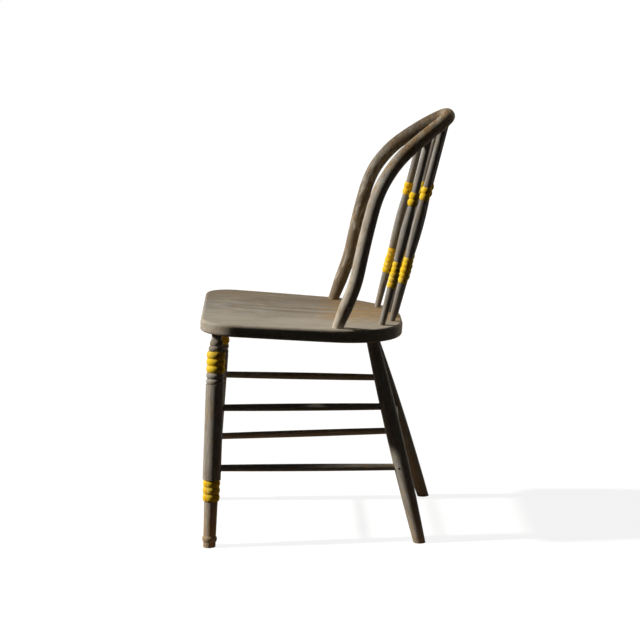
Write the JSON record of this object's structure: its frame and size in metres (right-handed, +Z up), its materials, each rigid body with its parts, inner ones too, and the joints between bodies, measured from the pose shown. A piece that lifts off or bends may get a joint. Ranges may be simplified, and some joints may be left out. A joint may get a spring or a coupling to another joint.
{
  "type": "chair",
  "caption": "Windsor side chair: hoop back bent into a bow over turned spindles, plank seat, splayed turned legs joined by plain stretchers; old grey paint with ochre beads",
  "frame": {"origin": "on the floor, under the middle of the chair's bounding box", "axes": "+Z up, the sitter faces -Y, the sitter's left is +X"},
  "size_m": [0.4222, 0.5366, 0.8575],
  "materials": {
    "seat_paint": "worn matte grey-brown paint over wood",
    "bow_paint": "worn matte grey paint over wood",
    "leg_paint": "worn matte grey paint, ochre yellow beads",
    "spindle_paint": "worn matte grey paint, ochre yellow beads",
    "stretcher_paint": "worn matte grey paint over wood",
    "nail_iron": "dull dark rusted iron"
  },
  "bodies": {
    "root": {"seat": "seat_paint", "bow": "bow_paint", "leg_front_left": "leg_paint", "leg_front_right": "leg_paint", "leg_rear_left": "leg_paint", "leg_rear_right": "leg_paint", "spindle_outer_left": "spindle_paint", "spindle_inner_left": "spindle_paint", "spindle_middle": "spindle_paint", "spindle_inner_right": "spindle_paint", "spindle_outer_right": "spindle_paint", "stretcher_left_upper": "stretcher_paint", "stretcher_left_lower": "stretcher_paint", "stretcher_right_upper": "stretcher_paint", "stretcher_right_lower": "stretcher_paint", "stretcher_front_upper": "stretcher_paint", "stretcher_front_lower": "stretcher_paint", "stretcher_rear": "stretcher_paint", "stretcher_nail": "nail_iron"}
  },
  "joints": []
}
